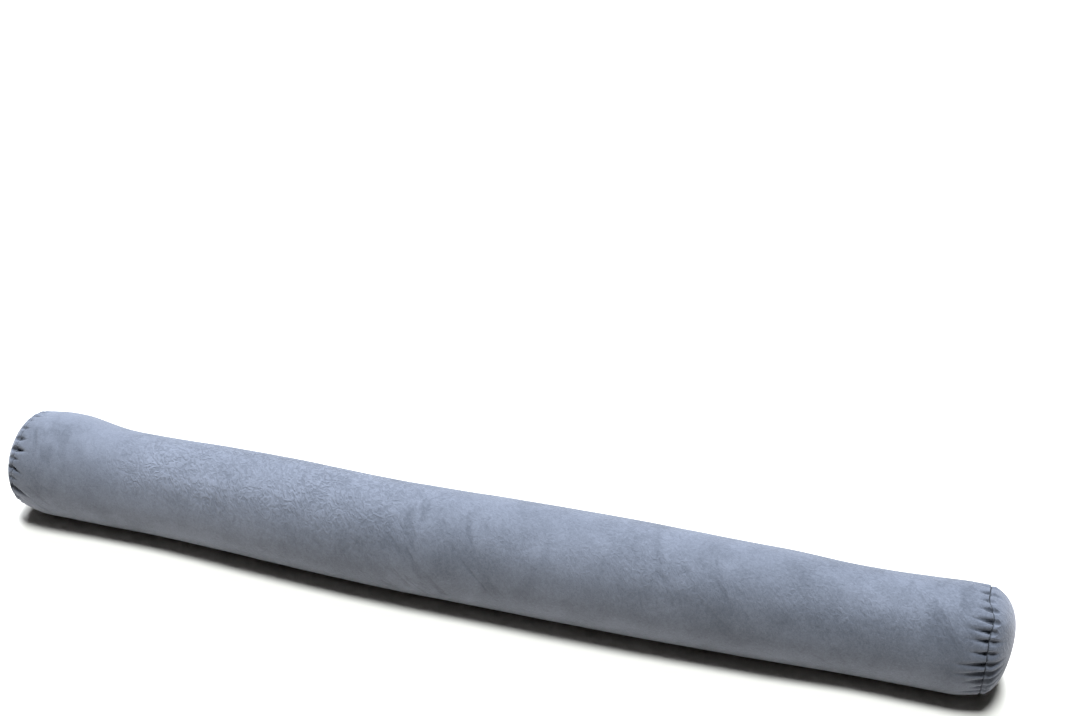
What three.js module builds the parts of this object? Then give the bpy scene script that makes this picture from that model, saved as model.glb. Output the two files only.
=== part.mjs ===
// A draught excluder: a long filled bolster of plush that lies along the foot of a door.
// The cover is one wide panel closed into a tube, and a round panel for each end. A turned seam
// eases each end panel into the tube, and the cloth puckers on both sides of that seam.
// Millimetres, +Z up. The bolster lies along X on the plane z = 0, with its front towards -Y.
import * as THREE from 'three';

// Driving dimensions
const SEAM_SPAN = 900; // from one end seam to the other, along X
const SINK = 5; // how far the round tube has settled into its flat base
const BASE_BLEND = 2; // height over which the base rounds up into the side
const CROWN = { left: 17, right: 23 }; // how far each end panel stands out from its seam
const CROWN_POINT = 1.3; // 1 is an elliptical dome, more is a more pointed one
const CROWN_LIFT = 4; // how far the middle of an end panel sits above the middle of its seam
const SEAM_SHARE = 0.94; // radius of a seam as a share of the tube's
const SEAM_LIFT = 2; // how far the drawn-in cloth carries the centre of a seam upwards
const ROUND_OVER = 26; // length over which the tube rounds over to a seam
const SEAM_NIP = 1.4; // depth of the groove that the stitches pull in
const NIP_REACH = 3; // how far along the cloth the groove reaches
const SEAM_GAP = 0.33; // space left between the tube and an end panel

// The tube from end to end, as uneven as its filling leaves it.
// at: place along X, radius: of the round section, bow: how far the section lies back.
const SECTIONS = [
  { at: -450, radius: 50.0, bow: 3.0 },
  { at: -410, radius: 50.0, bow: 3.4 },
  { at: -365, radius: 48.0, bow: 3.6 },
  { at: -320, radius: 46.4, bow: 3.2 },
  { at: -250, radius: 47.9, bow: 1.2 },
  { at: -170, radius: 48.6, bow: -2.0 },
  { at: -80, radius: 49.0, bow: -4.4 },
  { at: 20, radius: 50.0, bow: -5.2 },
  { at: 110, radius: 50.3, bow: -4.4 },
  { at: 200, radius: 49.4, bow: -2.8 },
  { at: 280, radius: 48.2, bow: -0.8 },
  { at: 350, radius: 46.4, bow: 1.6 },
  { at: 405, radius: 47.6, bow: 3.2 },
  { at: 450, radius: 49.2, bow: 4.4 },
];

// Puckers on the front and the top of each end, from low on the front up and over.
// turn: degrees up from the front, deep: of the trough, long: reach along the tube,
// cap: reach on the end panel, slant: degrees it leans round by its far end,
// out: how far its stitch stands out from the plane of the seam.
const PUCKERS = {
  left: [
    { turn: -50, deep: 1.8, long: 14, cap: 8, slant: 0, out: 0 },
    { turn: -35, deep: 1.6, long: 16, cap: 8, slant: 0, out: 0 },
    { turn: -20, deep: 1.4, long: 12, cap: 10, slant: -4, out: 0 },
    { turn: -4, deep: 3.4, long: 22, cap: 12, slant: -9, out: -1 },
    { turn: 9, deep: 1.4, long: 10, cap: 8, slant: -6, out: -1.5 },
    { turn: 21, deep: 3.0, long: 17, cap: 10, slant: -8, out: -1 },
    { turn: 32, deep: 1.8, long: 9, cap: 8, slant: 0, out: 0 },
    { turn: 43, deep: 3.4, long: 19, cap: 10, slant: 0, out: 0.5 },
    { turn: 56, deep: 2.2, long: 11, cap: 8, slant: 3, out: 0 },
    { turn: 71, deep: 2.0, long: 11, cap: 8, slant: 3, out: 0 },
    { turn: 84, deep: 1.6, long: 10, cap: 7, slant: 0, out: 0 },
  ],
  right: [
    { turn: -50, deep: 2.6, long: 20, cap: 8, slant: 0, out: 0.5 },
    { turn: -37, deep: 1.4, long: 12, cap: 10, slant: 0, out: 1 },
    { turn: -24, deep: 1.4, long: 14, cap: 14, slant: 0, out: 1 },
    { turn: -12, deep: 1.8, long: 14, cap: 15, slant: 0, out: 1.5 },
    { turn: -1, deep: 3.0, long: 26, cap: 17, slant: 0, out: 1.5 },
    { turn: 9, deep: 3.0, long: 25, cap: 17, slant: 0, out: 1.5 },
    { turn: 22, deep: 2.8, long: 20, cap: 16, slant: 3, out: 1.5 },
    { turn: 34, deep: 3.0, long: 21, cap: 16, slant: 3, out: 1 },
    { turn: 46, deep: 3.2, long: 26, cap: 6, slant: 3, out: 1.5 },
    { turn: 57, deep: 3.0, long: 24, cap: 6, slant: 4, out: 3 },
    { turn: 71, deep: 2.6, long: 19, cap: 9, slant: 3, out: 0 },
    { turn: 84, deep: 1.8, long: 13, cap: 8, slant: 0, out: -3.5 },
  ],
};
const PUCKERS_ROUND_END = 28; // with the ones on the back and underneath
const RIDGE_SHARE = 0.3; // height of the ridge between two troughs as a share of their depth
const SLANT_REACH = 22; // length along the tube over which a slanting pucker leans
const STRAIGHTENS_IN = 40; // length over which the tube forgets the uneven line of its seam

// The puckers out of sight, on the back and underneath, keep the same rhythm with an uneven hand.
const OUT_OF_SIGHT = {
  deep: [1.4, 2.8],
  long: [11, 22],
  cap: [7, 14],
  drift: [-0.18, 0.18], // as a share of the space between two puckers
  seed: { left: 3, right: 8 },
};

// How finely the cloth is divided
const RAYS_PER_PUCKER = 4; // trough, shoulder, ridge, shoulder
const RAYS = PUCKERS_ROUND_END * RAYS_PER_PUCKER;
const STEPS_FROM_SEAM = [0, 1.5, 4, 9, 15, 23, 36];
const MIDDLE_BANDS = 13;
const DOME_TURNS = [0, 0.06, 0.16, 0.32, 0.52, 0.75, 1]; // quarter turns from the seam to the crown

const HALF_SPAN = SEAM_SPAN / 2;
const plush = new THREE.MeshStandardMaterial({ color: 0x7f88a0, roughness: 0.95, metalness: 0 });

const tubeLine = new THREE.CubicInterpolant(
  SECTIONS.map((row) => row.at),
  SECTIONS.flatMap((row) => [row.radius, row.bow]),
  2,
);

function sectionAt(x) {
  const [radius, bow] = tubeLine.evaluate(THREE.MathUtils.clamp(x, -HALF_SPAN, HALF_SPAN));
  return { radius, bow };
}

// All the puckers of one end in order, from the first placed one right round to meet it again.
function ringOfPuckers(end) {
  const placed = PUCKERS[end];
  const first = placed[0];
  const last = placed[placed.length - 1];
  const missing = PUCKERS_ROUND_END - placed.length;
  const pitch = (360 + first.turn - last.turn) / (missing + 1);
  THREE.MathUtils.seededRandom(OUT_OF_SIGHT.seed[end]);
  const between = ([low, high]) => THREE.MathUtils.lerp(low, high, THREE.MathUtils.seededRandom());
  const others = Array.from({ length: missing }, (_, k) => ({
    turn: last.turn + pitch * (k + 1 + between(OUT_OF_SIGHT.drift)),
    deep: between(OUT_OF_SIGHT.deep),
    long: between(OUT_OF_SIGHT.long),
    cap: between(OUT_OF_SIGHT.cap),
    slant: 0,
    out: THREE.MathUtils.lerp(last.out, first.out, (k + 1) / (missing + 1)),
  }));
  return [...placed, ...others, { ...first, turn: first.turn + 360 }];
}

// The rays round one end: one down each trough, one up each ridge, and one on each shoulder.
function raysOf(end) {
  const ring = ringOfPuckers(end);
  return Array.from({ length: RAYS }, (_, i) => {
    const before = ring[Math.floor(i / RAYS_PER_PUCKER)];
    const after = ring[Math.floor(i / RAYS_PER_PUCKER) + 1];
    const step = i % RAYS_PER_PUCKER;
    const mix = (name) => THREE.MathUtils.lerp(before[name], after[name], step / RAYS_PER_PUCKER);
    const dipByStep = [mix('deep'), 0, -RIDGE_SHARE * mix('deep'), 0];
    return {
      turn: mix('turn'),
      dip: dipByStep[step],
      long: mix('long'),
      cap: mix('cap'),
      slant: mix('slant'),
      out: mix('out'),
    };
  });
}

const rays = { left: raysOf('left'), right: raysOf('right') };

// Angle of ray i at x, in radians: the rays of the left end run on into those of the right end.
function rayAngle(i, x, along) {
  const end = x < 0 ? 'left' : 'right';
  const reached = along / SLANT_REACH;
  const lean = rays[end][i].slant * reached * Math.exp(1 - reached);
  const share = THREE.MathUtils.clamp(x / SEAM_SPAN + 0.5, 0, 1);
  const turn = THREE.MathUtils.lerp(rays.left[i].turn, rays.right[i].turn, share);
  return THREE.MathUtils.degToRad(turn + lean);
}

// How deep the cloth dips on a ray, this far along from the seam: its pucker and the nip of the seam.
function dipOn(ray, along, reach) {
  const pucker = ray.dip * Math.max(0, 1 - along / reach) ** 1.4;
  const nip = SEAM_NIP * Math.max(0, 1 - along / NIP_REACH) ** 2;
  return pucker + nip;
}

// A point of the round section at x, set down on its flat base.
function onSection(x, angle, radius, lift) {
  const section = sectionAt(x);
  const height = section.radius - SINK + lift + radius * Math.sin(angle);
  const blended = (height + BASE_BLEND) ** 2 / (4 * BASE_BLEND);
  const settled = Math.abs(height) < BASE_BLEND ? blended : Math.max(height, 0);
  return new THREE.Vector3(x, section.bow - radius * Math.cos(angle), settled);
}

// A closed skin turned round X. Its stations run from +X to -X and begin and end on the axis.
function turnedSkin(name, stations, place) {
  const outline = stations.map((station) => new THREE.Vector2(station.share, station.x));
  const geometry = new THREE.LatheGeometry(outline, RAYS);
  const position = geometry.getAttribute('position');
  for (let i = 0; i <= RAYS; i++) {
    stations.forEach((station, j) => {
      const point = place(station, i % RAYS);
      position.setXYZ(i * stations.length + j, point.x, point.y, point.z);
    });
  }
  geometry.computeVertexNormals();
  const mesh = new THREE.Mesh(geometry, plush);
  mesh.name = name;
  return mesh;
}

// The filled tube between its two end seams.
function makeTube() {
  const innermost = HALF_SPAN - STEPS_FROM_SEAM[STEPS_FROM_SEAM.length - 1];
  const middle = Array.from(
    { length: MIDDLE_BANDS - 1 },
    (_, k) => innermost * (1 - (2 * (k + 1)) / MIDDLE_BANDS),
  );
  const rings = [
    ...STEPS_FROM_SEAM.map((step) => HALF_SPAN - step),
    ...middle,
    ...STEPS_FROM_SEAM.toReversed().map((step) => step - HALF_SPAN),
  ];
  const stations = [
    { x: HALF_SPAN, share: 0 },
    ...rings.map((x) => ({ x, share: 1 })),
    { x: -HALF_SPAN, share: 0 },
  ];
  return turnedSkin('tube', stations, ({ x, share }, i) => {
    const side = x < 0 ? -1 : 1;
    const along = HALF_SPAN - Math.abs(x);
    const ray = rays[x < 0 ? 'left' : 'right'][i];
    const drawnIn = Math.max(0, 1 - along / ROUND_OVER) ** 2;
    const radius = sectionAt(x).radius * (1 - (1 - SEAM_SHARE) * drawnIn) - dipOn(ray, along, ray.long);
    const point = onSection(x, rayAngle(i, x, along), share * radius, SEAM_LIFT * drawnIn);
    point.x += side * ray.out * share * Math.max(0, 1 - along / STRAIGHTENS_IN) ** 2;
    return point;
  });
}

// A domed end panel, from its back in the seam to the middle of its crown.
function makeEndPanel(end) {
  const side = end === 'left' ? -1 : 1;
  const seamX = side * (HALF_SPAN + SEAM_GAP);
  const seamRadius = sectionAt(seamX).radius * SEAM_SHARE;
  const dome = DOME_TURNS.map((turn) => {
    const angle = (turn * Math.PI) / 2;
    const rise = CROWN[end] * Math.sin(angle) ** CROWN_POINT;
    const share = turn === 1 ? 0 : Math.cos(angle);
    return {
      x: seamX + side * rise,
      share,
      along: Math.hypot(rise, seamRadius * (1 - share)),
      lift: SEAM_LIFT + CROWN_LIFT * (1 - share),
    };
  });
  const stations = [{ x: seamX, share: 0, along: 0, lift: SEAM_LIFT }, ...dome];
  if (side > 0) stations.reverse();
  return turnedSkin(`end_panel_${end}`, stations, ({ x, share, along, lift }, i) => {
    const ray = rays[end][i];
    const radius = seamRadius - dipOn(ray, along, ray.cap);
    const point = onSection(x, rayAngle(i, x, 0), share * radius, lift);
    point.x += side * ray.out * share;
    return point;
  });
}

const draughtExcluder = new THREE.Group();
draughtExcluder.add(makeTube(), makeEndPanel('left'), makeEndPanel('right'));

// The origin is the middle of the base.
const reach = new THREE.Box3().setFromObject(draughtExcluder);
const middle = reach.getCenter(new THREE.Vector3());
draughtExcluder.position.set(-middle.x, -middle.y, 0);

export default draughtExcluder;
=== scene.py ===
from math import cos, pi, radians, sin

import bpy
import numpy as np
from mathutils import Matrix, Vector, noise


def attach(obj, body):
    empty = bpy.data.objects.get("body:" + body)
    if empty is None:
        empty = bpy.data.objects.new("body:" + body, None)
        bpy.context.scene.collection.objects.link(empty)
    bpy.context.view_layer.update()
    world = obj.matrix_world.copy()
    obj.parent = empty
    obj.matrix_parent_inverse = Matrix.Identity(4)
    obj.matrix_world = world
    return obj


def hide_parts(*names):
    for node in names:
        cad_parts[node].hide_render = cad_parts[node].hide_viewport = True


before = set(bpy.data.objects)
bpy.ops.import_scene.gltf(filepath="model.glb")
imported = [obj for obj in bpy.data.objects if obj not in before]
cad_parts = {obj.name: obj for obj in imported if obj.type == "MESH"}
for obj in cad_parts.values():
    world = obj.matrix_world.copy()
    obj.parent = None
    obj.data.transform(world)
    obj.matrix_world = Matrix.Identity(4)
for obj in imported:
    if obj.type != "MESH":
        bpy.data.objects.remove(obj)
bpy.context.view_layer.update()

# The body panel
# One wide rectangle of short brushed plush, sewn into a tube and filled with loose fibre, so it is
# thinner near its ends and fullest past the middle. Each end is eased into the seam of an end panel.
MM = 0.001  # sizes are in millimetres, the scene is in metres
HALF_SPAN = 450.0  # from the middle of the tube to an end seam
DRAWN_FROM = (-3.0, 0.91)  # x and y of the pattern's own middle, from the middle of the base
SINK = 5.0  # how far the filled tube has settled on its base
BASE_BLEND = 2.0  # height over which the base rounds up into the side
CLOTH = 1.2  # from the middle of the plush to the tips of its pile
ROUND = 50.0  # radius of the panel where it is full
SEWN = 45.9  # radius at which the panel turns into the seam
ROUND_OVER = 26.0  # length over which the panel rounds over to the seam
EASE = 0.06  # share by which the cloth is cut larger than it needs to be at a seam
EASED_OVER = 24.0  # length of the panel over which that ease runs out
TUCK = 1.1  # how far the cloth rolls in from its edge to the stitches
ROLL = (90, 72, 54, 36, 18)  # degrees of that roll, from the stitches outwards
SEAM_GAP = 0.06  # from the seam line to the cloth on each side
SEAM_LIFT = 2.0  # how far the drawn-in cloth carries the middle of a seam upwards
GATHERED = 72.0  # length of the panel that is worked together with its end panel
GATHERS_END = 45.0  # from here on the gathers give way to the even tube
GATHERS_GONE = 25.0  # length over which they do
MIDDLE_RINGS = 120  # rings of cloth along the even part
LEFT_CROWN, RIGHT_CROWN = 18.5, 22.0  # how far each end panel stands out from its seam
LEFT_DISC, RIGHT_DISC = 51.0, 52.5  # radius to which each end panel is cut
SIZED_OVER = 20.0  # distance from the seam over which an end panel is drawn to its size
EVEN_MIDDLE = 24.0  # radius about which an end panel gives way to its even middle
AROUND = 384  # divisions round the panel

# The allowance folded away inside a seam: how far in it goes and how far over it leans
ALLOWANCE = [(7.0, 2.6), (4.0, 2.0), (2.0, 0.6), (1.2, 0.0)]

# Place along the panel, radius, bow towards the back
THICKNESS = np.array([
    (-450, 50.2, 5.0),
    (-410, 50.5, 5.4),
    (-365, 47.4, 4.0),
    (-320, 47.0, 4.2),
    (-250, 48.3, 2.2),
    (-170, 49.4, -1.6),
    (-80, 49.5, -5.0),
    (20, 50.2, -4.4),
    (110, 50.5, -3.9),
    (200, 49.8, -2.7),
    (280, 48.5, -0.3),
    (350, 46.5, 2.0),
    (405, 47.3, 2.8),
    (450, 48.6, 3.2),
])
RADIUS, BOW = 1, 2  # columns of THICKNESS

# The puckers that show, from low on the front up and over: degrees up from the front, depth,
# reach along the panel, reach on the end panel, degrees it leans, how far its stitch stands out
LEFT_PUCKERS = [
    (-50, 1.8, 14, 8, 0, 0.5),
    (-35, 1.6, 16, 8, 0, 1),
    (-20, 1.4, 12, 10, -4, 1.5),
    (-4, 3.4, 19, 10, -9, 1.5),
    (9, 1.4, 9, 8, -6, 1.5),
    (21, 3.0, 13, 8, -8, 1),
    (32, 1.8, 8, 7, 0, 1),
    (43, 3.4, 14, 8, 0, 0.5),
    (56, 2.2, 9, 7, 3, 0),
    (71, 1.4, 8, 7, 3, 0),
    (84, 0.8, 8, 7, 0, 0),
]
RIGHT_PUCKERS = [
    (-45, 1.6, 14, 8, 0, 0.5),
    (-31, 3.0, 20, 10, 0, 1),
    (-21, 2.2, 12, 22, 0, 1),
    (-10, 2.8, 16, 26, 0, 1.5),
    (0, 3.2, 25, 26, 0, 1.5),
    (11, 3.2, 25, 24, 0, 1.5),
    (23, 3.0, 16, 14, 3, 1.5),
    (36, 3.2, 17, 18, 3, 1),
    (46, 3.2, 20, 5, 3, 1.5),
    (57, 3.0, 18, 5, 4, 3.5),
    (70, 2.4, 15, 6, 3, 1),
    (82, 1.8, 12, 6, 0, -3.5),
]
REACH, END_REACH, STAND_OUT = 2, 3, 5  # columns of the puckers

PUCKERS_ROUND_END = 28
HIDDEN_DEPTH = (1.4, 2.8)  # least and most, for the puckers out of sight
HIDDEN_REACH = (11, 22)
HIDDEN_END_REACH = (7, 14)
UNEVEN = 0.18  # how far those lie off their places, as a share of their spacing
PUCKER_WIDTH = 2.6  # degrees from the bottom of a pucker to its sides
CREASE_WIDTH = 1.3  # the same for the sharp crease along its bottom
CREASE = 0.3  # share of a pucker's depth that this crease adds on the panel
CREASE_GAIN = 0.3  # how much more it adds on the end panel
CREASE_GAIN_OVER = 4.0  # from the seam to where it does so in full
LEANS_OVER = 22.0  # length over which a pucker takes up its lean
TRACE = 1.25  # how many times its reach a pucker can be followed
HIDDEN_PAST = 1.4  # how many times its reach a gather goes before the pile hides it
HIDDEN_SHARE = 0.85  # share of the gather that it then hides
STAND_OUT_OVER = 40.0  # length of the panel over which a stitch that stands out draws on it

turns = np.arange(AROUND) / AROUND * 2 * pi
outwards = np.stack([-np.cos(turns), np.sin(turns)], 1)  # y and z of each ray, from the front up


def eased(x, column):
    """A column of THICKNESS at x, on a smooth line through its rows."""
    places, values = THICKNESS[:, 0], THICKNESS[:, column]
    slopes = np.gradient(values, places)
    k = np.clip(np.searchsorted(places, x) - 1, 0, len(places) - 2)
    span = places[k + 1] - places[k]
    t = np.clip((x - places[k]) / span, 0, 1)
    return (
        (1 + 2 * t) * (1 - t) ** 2 * values[k]
        + t * (1 - t) ** 2 * span * slopes[k]
        + t * t * (3 - 2 * t) * values[k + 1]
        + t * t * (t - 1) * span * slopes[k + 1]
    )


def all_puckers(shown, seed):
    """The shown puckers of one end and, out of sight, the same rhythm with an uneven hand."""
    chance = np.random.default_rng(seed)
    first, last = shown[0], shown[-1]
    missing = PUCKERS_ROUND_END - len(shown)
    pitch = (360 + first[0] - last[0]) / (missing + 1)
    rows = list(shown)
    for k in range(1, missing + 1):
        turn = last[0] + pitch * (k + chance.uniform(-UNEVEN, UNEVEN))
        depth = chance.uniform(*HIDDEN_DEPTH)
        reach = chance.uniform(*HIDDEN_REACH)
        end_reach = chance.uniform(*HIDDEN_END_REACH)
        stand_out = last[STAND_OUT] + (first[STAND_OUT] - last[STAND_OUT]) * k / (missing + 1)
        rows.append((turn, depth, reach, end_reach, 0, stand_out))
    return np.array(rows, float)


def degrees_off(turn):
    """How far each ray is from each of these turns, the short way round."""
    return (np.degrees(turns)[:, None] - turn + 180) % 360 - 180


def troughs(puckers, along, width=PUCKER_WIDTH):
    """How deep the cloth is tucked in on each ray, at this distance from the seam.

    The distance is less than 0 on the body panel, and 0 or more on the end panel."""
    turn, depth, reach, end_reach, lean, _ = puckers.T
    distance = abs(along)
    if along < 0:
        turn = turn + lean * min(1.0, distance / LEANS_OVER)
        fade = np.clip(1 - distance / (reach * TRACE), 0, 1) ** 1.2
    else:
        fade = np.clip(1 - distance / (end_reach * TRACE), 0, 1) ** 1.2
    return (depth * fade * np.exp(-((degrees_off(turn) / width) ** 2))).sum(1)


def near_pucker(puckers, column, width):
    """A column of the puckers for each ray, from the puckers within about width degrees of it."""
    near = np.exp(-((degrees_off(puckers[:, 0]) / width) ** 2))
    return (near * puckers[:, column]).sum(1) / near.sum(1)


def steps(last, even_for, first_step=1.3, growth=1.09):
    """Distances from a seam to last, evenly close at first and then further apart."""
    found, step = [0.0], first_step
    while found[-1] < last:
        found.append(found[-1] + step)
        step = step * growth if found[-1] > even_for else step
    return np.array(found) * last / found[-1]


def ring_at(x, radius):
    """A ring of cloth round the middle line, with one radius or with one for each ray."""
    return np.column_stack([np.full(AROUND, x), np.reshape(radius, (-1, 1)) * outwards])


def bands(count):
    """The corners of every patch of cloth between neighbouring rings."""
    return [
        (a + i, a + (i + 1) % AROUND, b + (i + 1) % AROUND, b + i)
        for a, b in ((j * AROUND, (j + 1) * AROUND) for j in range(count - 1))
        for i in range(AROUND)
    ]


def fill_out(rings, cut, sewn_rings, moments=12):
    """Lets the filling press the cloth of one gathered end outwards, as cut and sewn."""
    tip = len(rings) * AROUND
    faces = [(one, four, three, two) for one, two, three, four in bands(len(rings))]
    faces += [(tip - AROUND + (i + 1) % AROUND, tip - AROUND + i, tip) for i in range(AROUND)]
    rings = np.append(rings.reshape(-1, 3), [rings[-1].mean(0)], axis=0)
    cut = np.append(cut.reshape(-1, 3), [cut[-1].mean(0)], axis=0)
    grow = 10 * MM  # the cloth is worked at ten times its size, where its springs behave
    cloth = bpy.data.meshes.new("gathering")
    cloth.from_pydata((rings * grow).tolist(), [], faces)
    piece = bpy.data.objects.new("gathering", cloth)
    bpy.context.scene.collection.objects.link(piece)
    piece.shape_key_add(name="sewn")
    flat = piece.shape_key_add(name="cut")
    flat.data.foreach_set("co", (cut * grow).astype(np.float32).ravel())
    held = piece.vertex_groups.new(name="held")
    for j in sewn_rings:
        held.add(list(range(j * AROUND, (j + 1) * AROUND)), 1.0, "REPLACE")
    work = piece.modifiers.new("filling", "CLOTH")
    plush = work.settings
    plush.quality = 5
    plush.mass = 0.001
    plush.tension_stiffness = 40
    plush.compression_stiffness = 40
    plush.shear_stiffness = 5
    plush.bending_stiffness = 0.02
    plush.tension_damping = 1
    plush.compression_damping = 1
    plush.shear_damping = 1
    plush.use_pressure = True
    plush.uniform_pressure_force = 12
    plush.effector_weights.gravity = 0
    plush.vertex_group_mass = "held"
    plush.rest_shape_key = flat
    work.collision_settings.use_collision = False
    work.point_cache.frame_start = 1
    work.point_cache.frame_end = moments
    for moment in range(1, moments + 1):
        bpy.context.scene.frame_set(moment)
    settled = piece.evaluated_get(bpy.context.evaluated_depsgraph_get()).data
    found = np.empty(len(rings) * 3, np.float32)
    settled.vertices.foreach_get("co", found)
    bpy.context.scene.frame_set(1)
    bpy.data.objects.remove(piece)
    return found[:-3].reshape(-1, AROUND, 3).astype(float) / grow


def thicken(rings):
    """Moves the middle of the cloth out to the tips of its pile."""
    along = np.gradient(rings, axis=0)
    across = np.roll(rings, -1, axis=1) - np.roll(rings, 1, axis=1)
    out = np.cross(across, along)
    out /= np.linalg.norm(out, axis=2)[..., None] + 1e-9
    return rings + CLOTH * out


def sharpen(rings, away, reach, more):
    """Deepens the gathers up to their reach from the seam, and past it lets the pile hide them."""
    spread = AROUND // 20  # rays, about the spacing of the puckers
    edge = 3 * spread
    blur = np.exp(-((np.arange(-edge, edge + 1) / spread) ** 2))
    spoke = np.hypot(rings[..., 1], rings[..., 2])
    around = np.concatenate([spoke[:, -edge:], spoke, spoke[:, :edge]], axis=1)
    mean = np.array([np.convolve(ring, blur / blur.sum(), "valid") for ring in around])
    past = np.clip(away[:, None] / (HIDDEN_PAST * reach), 0, 1)
    gain = more - (more + HIDDEN_SHARE) * past * past * (3 - 2 * past)
    rings[..., 1:] *= (1 + gain * (spoke - mean) / spoke)[..., None]
    return rings


def roll_in(rings, edge):
    """Turns the edge of a piece, its first ring, down into the seam in a round roll."""
    edge_ring = rings[0] * [0, 1 - TUCK / SEWN, 1 - TUCK / SEWN] + [edge, 0, 0]
    roll = []
    for turn in np.radians(ROLL):
        ring = rings[1].copy()
        ring[:, 0] += (edge_ring[:, 0] - ring[:, 0]) * sin(turn)
        ring[:, 1:] += (edge_ring[:, 1:] - ring[:, 1:]) * (1 - cos(turn))
        roll.append(ring)
    rest = rings[1:].copy()
    rest[..., 0] = np.where(abs(rest[..., 0]) < abs(edge), edge, rest[..., 0])
    return np.concatenate([roll, rest])


def gather(puckers, crown, disc):
    """One end, sewn and filled: the rings of the panel up to the seam, then those of the end panel.

    x is 0 at the seam and grows outwards, and the middle of the seam is at y = z = 0."""
    back = -steps(GATHERED, even_for=28)[::-1]
    over = steps(disc - 2, even_for=20)[1:]
    full, sewn = ROUND - CLOTH, SEWN - CLOTH
    rings, cut = [], []
    for x in back:
        drawn = max(0.0, 1 + x / ROUND_OVER) ** 2
        tucked = troughs(puckers, x - 1e-6) * (0.5 if x == 0 else 1)
        rings.append(ring_at(x, full - (full - sewn) * drawn - tucked))
        cut.append(ring_at(x, full * (1 + EASE * max(0.0, 1 + x / EASED_OVER))))
    for s in over:
        turn = s / disc * pi / 2
        rings.append(ring_at(crown * sin(turn) ** 1.2, cos(turn) * (sewn - troughs(puckers, s))))
        cut.append(ring_at(1.0, (disc - s) * (1 + EASE * (1 - s / disc))))
    rings = np.array(rings)
    seam = len(back)
    rings = fill_out(rings, np.array(cut), (0, seam - 1))
    from_seam = np.append(0, over)
    panel = sharpen(thicken(rings[:seam]), -back, near_pucker(puckers, REACH, width=5), more=0.8)
    cap = sharpen(thicken(rings[seam - 1:]), from_seam, near_pucker(puckers, END_REACH, width=5), more=0.3)
    for x, ring in zip(back, panel):
        wanted = ROUND - (ROUND - SEWN) * max(0.0, 1 + x / ROUND_OVER) ** 2
        ring[:, 1:] *= wanted / np.hypot(ring[:, 1], ring[:, 2]).mean()
        ring[:, 1:] *= 1 - CREASE * troughs(puckers, x - 1e-6, CREASE_WIDTH)[:, None] / wanted
        smooth = np.clip((-x - GATHERS_END) / GATHERS_GONE, 0, 1)
        ring[:, 0] += smooth * (x - ring[:, 0])
        ring[:, 1:] += smooth * (wanted * outwards - ring[:, 1:])
    size = SEWN / np.hypot(cap[0, :, 1], cap[0, :, 2]).mean()
    for s, ring in zip(from_seam, cap):
        ring[:, 1:] *= 1 + (size - 1) * max(0.0, 1 - s / SIZED_OVER)
        crease = CREASE + CREASE_GAIN * min(1.0, s / CREASE_GAIN_OVER)
        ring[:, 1:] *= 1 - crease * troughs(puckers, s, CREASE_WIDTH)[:, None] / (SEWN + 1 - s)
        radius = np.hypot(ring[:, 1], ring[:, 2]).mean()
        dome = crown * np.sqrt(max(0.0, 1 - (radius / SEWN) ** 2))
        kept = np.clip(radius / EVEN_MIDDLE - 0.5, 0, 1)
        ring[:, 0] = dome + kept * (ring[:, 0] - ring[:, 0].mean())
        ring[:, 1:] += (1 - kept) * (radius * outwards - ring[:, 1:])
    return roll_in(panel[::-1], -SEAM_GAP)[::-1], roll_in(cap, SEAM_GAP)


def lay_down(rings, side, puckers, lift):
    """Carries rings of one end to their place on the bolster, and sets them down on the base."""
    along = rings[..., 0]
    x = side * (HALF_SPAN + np.minimum(along, 0))
    fullness = eased(x, RADIUS) / ROUND
    stand_out = near_pucker(puckers, STAND_OUT, width=9)
    radius = np.hypot(rings[..., 1], rings[..., 2])
    near_seam = np.clip(1 + np.minimum(along, 0) / STAND_OUT_OVER, 0, 1)
    fade = near_seam ** 2 * np.clip(radius / SEWN, 0, 1) ** 4
    placed = np.empty_like(rings)
    placed[..., 0] = side * (HALF_SPAN + along + stand_out * fade)
    placed[..., 1] = eased(x, BOW) + rings[..., 1] * fullness
    placed[..., 2] = eased(x, RADIUS) - SINK + lift + rings[..., 2] * fullness
    return placed


def drawn_lift(rings):
    """How far the drawn-in cloth near a seam is carried upwards."""
    return SEAM_LIFT * np.clip(1 + rings[..., 0] / ROUND_OVER, 0, 1) ** 2


def settle(rings):
    """Flattens what would lie below the floor and rounds it up into the side."""
    height = rings[..., 2]
    blended = (height + BASE_BLEND) ** 2 / (4 * BASE_BLEND)
    rings[..., 2] = np.where(abs(height) < BASE_BLEND, blended, np.maximum(height, 0))
    return rings


def allowance(ring, side):
    """The turned-in edge of a piece: both edges of a seam lean into the body panel together."""
    spoke = ring - ring.mean(0)
    spoke[:, 0] = 0
    spoke /= np.linalg.norm(spoke, axis=1)[:, None]
    return np.array([ring - spoke * inwards - [side * lean, 0, 0] for inwards, lean in ALLOWANCE])


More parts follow.
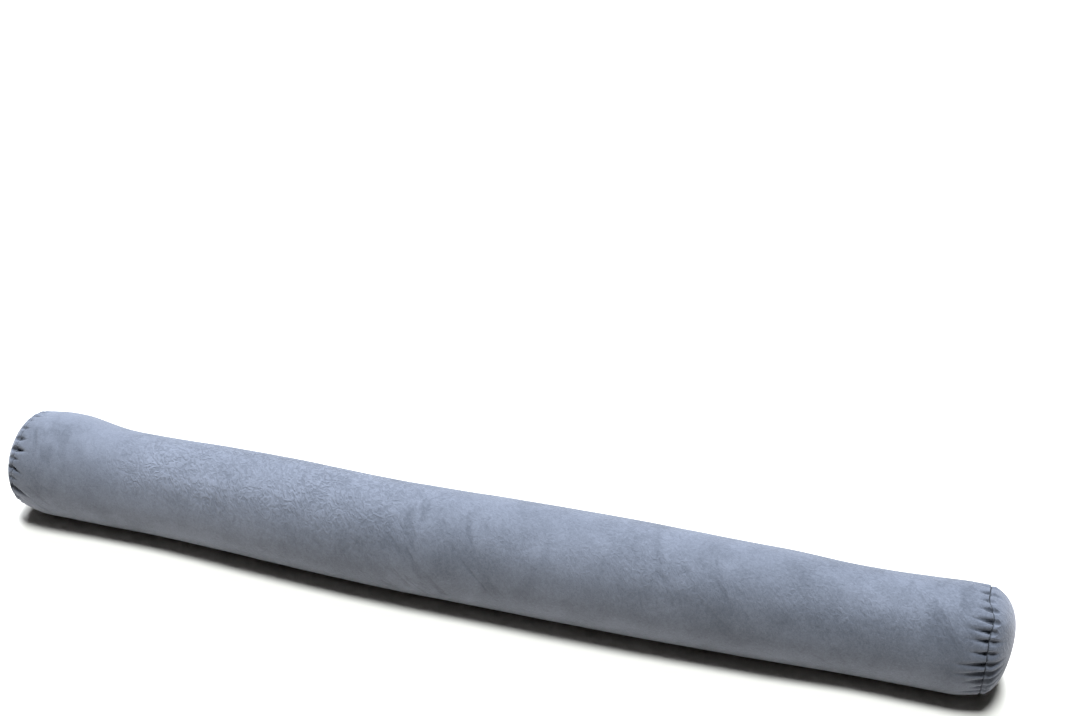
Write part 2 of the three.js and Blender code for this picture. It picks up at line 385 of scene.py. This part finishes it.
def skin(name, rings, finishes, seams=1):
    """A closed piece from rings of cloth whose first ring, or first and last, is turned into a seam.

    The cloth that is turned in has the second of the two finishes, a darker one that is painted shade in
    the seam."""
    count = len(rings)
    points = np.concatenate([rings.reshape(-1, 3), [rings[0].mean(0), rings[-1].mean(0)]])
    one, other = count * AROUND, count * AROUND + 1
    far = (count - 1) * AROUND
    faces = bands(count)
    faces += [(one, (i + 1) % AROUND, i) for i in range(AROUND)]
    faces += [(other, far + i, far + (i + 1) % AROUND) for i in range(AROUND)]
    mesh = bpy.data.meshes.new(name)
    middle = np.array([DRAWN_FROM[0], DRAWN_FROM[1], 0])
    mesh.from_pydata(((points + middle) * MM).tolist(), [], faces)
    for finish in finishes:
        mesh.materials.append(finish)
    inside = (len(ALLOWANCE) + 2) * AROUND
    tucked = np.zeros(len(faces), int)
    tucked[:inside] = 1
    tucked[far:far + AROUND] = 1
    if seams == 2:
        tucked[far - inside:] = 1
    mesh.polygons.foreach_set("material_index", tucked)
    mesh.polygons.foreach_set("use_smooth", [True] * len(mesh.polygons))
    if sum(face.normal.dot(face.center - Vector(middle * MM)) for face in mesh.polygons) < 0:
        mesh.flip_normals()
    piece = bpy.data.objects.new(name, mesh)
    bpy.context.scene.collection.objects.link(piece)
    return piece


left_puckers = all_puckers(LEFT_PUCKERS, seed=3)
right_puckers = all_puckers(RIGHT_PUCKERS, seed=8)
left_end, left_cap = gather(left_puckers, LEFT_CROWN, LEFT_DISC)
right_end, right_cap = gather(right_puckers, RIGHT_CROWN, RIGHT_DISC)
left_part = settle(lay_down(left_end, -1, left_puckers, drawn_lift(left_end)))
right_part = settle(lay_down(right_end, 1, right_puckers, drawn_lift(right_end)))
middle_part = []
for x in np.linspace(-HALF_SPAN + GATHERED, HALF_SPAN - GATHERED, MIDDLE_RINGS)[1:-1]:
    ring = ring_at(abs(x) - HALF_SPAN, ROUND)[None]
    middle_part.append(settle(lay_down(ring, -1 if x < 0 else 1, left_puckers, 0.0))[0])
tube_rings = np.concatenate([left_part[::-1], middle_part, right_part])

# The fibre inside lies in lumps: their height, how close they come each way, where they start
LUMPS = [
    (1.1, np.array([0.016, 0.022, 0.022]), Vector((3, 1, 7))),
    (0.55, np.array([0.04, 0.05, 0.05]), Vector((0, 0, 0))),
]
SWELL = np.array([-0.5, 0.8])  # how much of its height a lump swells forwards and up
LUMPS_FROM_SEAM = 60.0  # distance from a seam where the lumps are full
LUMPS_FROM_FLOOR = 12.0  # height above the floor where they are
for ring in tube_rings:
    for point in ring:
        inwards = min(abs(point[0] + HALF_SPAN), abs(point[0] - HALF_SPAN))
        full = min(1.0, inwards / LUMPS_FROM_SEAM) * min(1.0, point[2] / LUMPS_FROM_FLOOR)
        lump = sum(noise.noise(Vector(point * close) + start) * high for high, close, start in LUMPS)
        point[1:] += lump * full * SWELL
left_fold = allowance(tube_rings[0], -1)
right_fold = allowance(tube_rings[-1], 1)


class Tone:
    """A value that changes over the plush: one socket of the material's nodes."""

    tree = None

    def __init__(self, socket):
        self.socket = socket

    @classmethod
    def make(cls, kind, output, settings=None, inputs=None):
        """Adds any node, sets it up, joins or sets its sockets, and gives the tone it puts out."""
        node = cls.tree.nodes.new(kind)
        for name, value in (settings or {}).items():
            setattr(node, name, value)
        for name, value in (inputs or {}).items():
            if isinstance(value, Tone):
                cls.tree.links.new(value.socket, node.inputs[name])
            else:
                node.inputs[name].default_value = value
        return cls(node.outputs[output])

    @classmethod
    def sum_of(cls, operation, one, other):
        return cls.make("ShaderNodeMath", "Value", {"operation": operation}, {0: one, 1: other})

    def __add__(self, other):
        return Tone.sum_of("ADD", self, other)

    def __radd__(self, other):
        return Tone.sum_of("ADD", other, self)

    def __sub__(self, other):
        return Tone.sum_of("SUBTRACT", self, other)

    def __rsub__(self, other):
        return Tone.sum_of("SUBTRACT", other, self)

    def __mul__(self, other):
        return Tone.sum_of("MULTIPLY", self, other)

    def __rmul__(self, other):
        return Tone.sum_of("MULTIPLY", other, self)

    def __abs__(self):
        return Tone.make("ShaderNodeMath", "Value", {"operation": "ABSOLUTE"}, {0: self})

    def between(self, low, high):
        """0 up to low, 1 from high on, and smooth in between."""
        return Tone.make(
            "ShaderNodeMapRange",
            "Result",
            {"interpolation_type": "SMOOTHSTEP"},
            {"Value": self, "From Min": low, "From Max": high},
        )

    def shade(self, one, other):
        """One colour where this is 0, the other where it is 1."""
        return Tone.make("ShaderNodeMix", 2, {"data_type": "RGBA"}, {0: self, 6: one, 7: other})

    def feed(self, node, name):
        """Joins this to a socket of a node that is there already."""
        Tone.tree.links.new(self.socket, node.inputs[name])


def brushed_plush(name, dark, light, sheen):
    """Short grey-blue plush whose nap lies this way and that, with faint marks where it was pressed.

    Places on the plush are in metres here."""
    finish = bpy.data.materials.new(name)
    finish.use_nodes = True
    Tone.tree = finish.node_tree
    surface = Tone.tree.nodes["Principled BSDF"]
    place = Tone.make("ShaderNodeTexCoord", "Object")
    along, depth, height = (
        Tone.make("ShaderNodeSeparateXYZ", axis, {}, {"Vector": place}) for axis in ("X", "Y", "Z")
    )

    def patches(close, detail=2.0, rough=0.5, warp=0.0, squeeze=(1, 1, 1), shift=(0, 0, 0), lean=(0, 0, 0)):
        """Soft patches from 0 to 1, this close together, squeezed and leaning along the cloth."""
        turned = Tone.make("ShaderNodeMapping", "Vector", {}, {"Vector": place, "Rotation": lean})
        moved = Tone.make(
            "ShaderNodeMapping", "Vector", {}, {"Vector": turned, "Scale": squeeze, "Location": shift}
        )
        return Tone.make(
            "ShaderNodeTexNoise",
            "Fac",
            {},
            {"Vector": moved, "Scale": close, "Detail": detail, "Roughness": rough, "Distortion": warp},
        )

    # fine crossed marks of pressed nap, most of them high on the front of the left part
    one_way = patches(420, 0.0, warp=0.8, squeeze=(1, 0.4, 0.4), shift=(5, 1, 2), lean=(0, 0.4, -0.4))
    other_way = patches(360, 0.0, warp=1.0, squeeze=(0.6, 0.8, 0.5), shift=(1, 4, 2), lean=(0, -0.6, 0.5))
    one_way = one_way.between(0.3, 0.7) - 0.5
    other_way = other_way.between(0.3, 0.7) - 0.5
    grouped = patches(60, 1.0, warp=0.3, shift=(3, 3, 3)).between(0.44, 0.56)
    pressed = patches(11, warp=0.3, shift=(4, 2, 1)).between(0.38, 0.56)
    marks = (one_way * grouped + other_way * (1 - grouped)) * (pressed * 0.4 + 0.6)
    marks = marks * (1 - abs(along + 0.22).between(0.09, 0.2) * 0.65) * along.between(-0.4, -0.28)
    marks = marks * (height.between(0.035, 0.08) + 0.2) * (1 - depth.between(0.015, 0.045) * 0.6)

    # strokes of a hand or a brush, in a few places
    strokes = patches(1, warp=0.5, squeeze=(95, 26, 26), shift=(2, 5, 3), lean=(0, 0.8, 0))
    strokes = strokes.between(0.52, 0.68) * patches(8, 1.0, shift=(1, 7, 2)).between(0.5, 0.66)

    # the lie of the nap in broad and in smaller clouds, the tufts and their fibres
    lie = patches(9, 3.0, warp=0.4)
    cloudy = patches(34, warp=0.8)
    fleck = patches(420, rough=0.6, warp=1.0)
    fibre = patches(1500, rough=0.6, warp=0.5)
    nap = (lie - 0.5) * 0.5 + (cloudy - 0.5) * 0.4 + (fleck - 0.5) * 0.45 + (fibre - 0.5) * 0.35
    # with the strokes and the marks, and painted shade that makes the plush darker towards the right end
    nap = nap - strokes * 0.16 + marks * 0.21 - along.between(-0.2, 0.45) * 0.14 + 0.55

    # painted shade: a band about halfway up the sides of the tube is made darker, more so towards the right
    side = 1 - abs(height - 0.054).between(0.006, 0.028)
    nap = nap - side * (along.between(-0.15, 0.25) * 0.1 + 0.05)
    nap.between(-0.1, 1.1).shade(dark, light).feed(surface, "Base Color")

    surface.inputs["Roughness"].default_value = 0.95
    surface.inputs["Specular IOR Level"].default_value = 0.08
    surface.inputs["Sheen Weight"].default_value = sheen
    surface.inputs["Sheen Roughness"].default_value = 0.45
    surface.inputs["Sheen Tint"].default_value = (1.0, 0.96, 0.99, 1)
    relief = marks * 0.7 - strokes * 0.3 + fleck * 0.35 + fibre * 0.12
    pile = {"Strength": 0.7, "Distance": 0.0012, "Height": relief}
    Tone.make("ShaderNodeBump", "Normal", {}, pile).feed(surface, "Normal")
    return finish


plush = brushed_plush("brushed_plush", (0.071, 0.077, 0.092, 1), (0.212, 0.223, 0.262, 1), sheen=0.3)
# a darker copy of the plush with no sheen, for the cloth turned into the seams: painted shade in the seam
# groove
seam_shade_plush = brushed_plush("plush_with_painted_seam_shade", (0.04, 0.043, 0.05, 1), (0.12, 0.126, 0.145, 1), sheen=0.0)
whole_tube = np.concatenate([left_fold, tube_rings, right_fold[::-1]])
tube = skin("tube_cover", whole_tube, (plush, seam_shade_plush), seams=2)
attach(tube, "root")
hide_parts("tube")

# The left end panel
# A round of the same plush with the filling pressed against it, so that it stands out in a dome.
# It is sewn into the tube right sides together and turned, which tucks both edges into the seam.


def end_panel(name, node, cap, side, puckers, crown_lift):
    """A domed end panel, its middle lifted above the middle of its seam by the filling under it."""
    radius = np.hypot(cap[..., 1], cap[..., 2])
    lift = SEAM_LIFT + crown_lift * (1 - np.clip(radius / SEWN, 0, 1))
    rings = settle(lay_down(cap, side, puckers, lift))
    panel = skin(name, np.concatenate([allowance(rings[0], side), rings]), (plush, seam_shade_plush))
    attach(panel, "root")
    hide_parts(node)


end_panel("end_panel_left_cover", "end_panel_left", left_cap, -1, left_puckers, crown_lift=0.0)

# The right end panel
# The same round of plush at the other end, sewn in and turned in the same way. The filling presses
# it out further, and has packed towards the top of it.
end_panel("end_panel_right_cover", "end_panel_right", right_cap, 1, right_puckers, crown_lift=10.0)

# The floor
# A plain white studio floor that the bolster lies on. Its colour is a little warm, so that it comes
# out white under the cool light.
FLOOR_REACH = 12.0  # in metres
floor_mesh = bpy.data.meshes.new("floor")
corners = [(x * FLOOR_REACH, y * FLOOR_REACH, 0) for x, y in ((-1, -1), (1, -1), (1, 1), (-1, 1))]
floor_mesh.from_pydata(corners, [], [(0, 1, 2, 3)])
floor = bpy.data.objects.new("floor", floor_mesh)
bpy.context.scene.collection.objects.link(floor)
white = bpy.data.materials.new("white_floor")
white.use_nodes = True
white.node_tree.nodes["Principled BSDF"].inputs["Base Color"].default_value = (0.78, 0.72, 0.63, 1)
white.node_tree.nodes["Principled BSDF"].inputs["Roughness"].default_value = 0.8
floor_mesh.materials.append(white)

# The light
# Two broad soft lights, one overhead and one from behind and the left, so that the front of the
# bolster falls into shade. The room adds next to no light, and looks as white as the floor.
overhead = bpy.data.lights.new("overhead", "SUN")
overhead.energy = 4.8
overhead.angle = radians(18)
overhead.color = (0.83, 0.915, 1.0)
behind = bpy.data.lights.new("behind", "SUN")
behind.energy = 6.0
behind.angle = radians(34)
behind.color = (0.80, 0.88, 1.0)
for light, tilt, lean in (overhead, 3, 2), (behind, -32, -15):
    lamp = bpy.data.objects.new(light.name, light)
    lamp.rotation_euler = (radians(tilt), radians(lean), 0)
    bpy.context.scene.collection.objects.link(lamp)
ROOM_LIGHT = 0.003
room = bpy.data.worlds.new("room")
room.use_nodes = True
Tone.tree = room.node_tree
room_surface = Tone.tree.nodes["Background"]
room_surface.inputs["Color"].default_value = (1.0, 1.0, 1.0, 1)
seen = Tone.make("ShaderNodeLightPath", "Is Camera Ray")
(seen + ROOM_LIGHT).feed(room_surface, "Strength")
bpy.context.scene.world = room
bpy.context.scene.view_settings.view_transform = "Standard"

# The camera
# A 55 mm lens, a metre and a half away, looking down and along the bolster from its near end, where
# the outline falls as it does in the photograph.
lens = bpy.data.cameras.new("camera")
lens.lens = 55.0
lens.sensor_width = 36.0
camera = bpy.data.objects.new("camera", lens)
camera.location = (0.41324, -1.13086, 0.93581)
camera.rotation_euler = (radians(60), 0, radians(17.41))
bpy.context.scene.collection.objects.link(camera)
bpy.context.scene.camera = camera
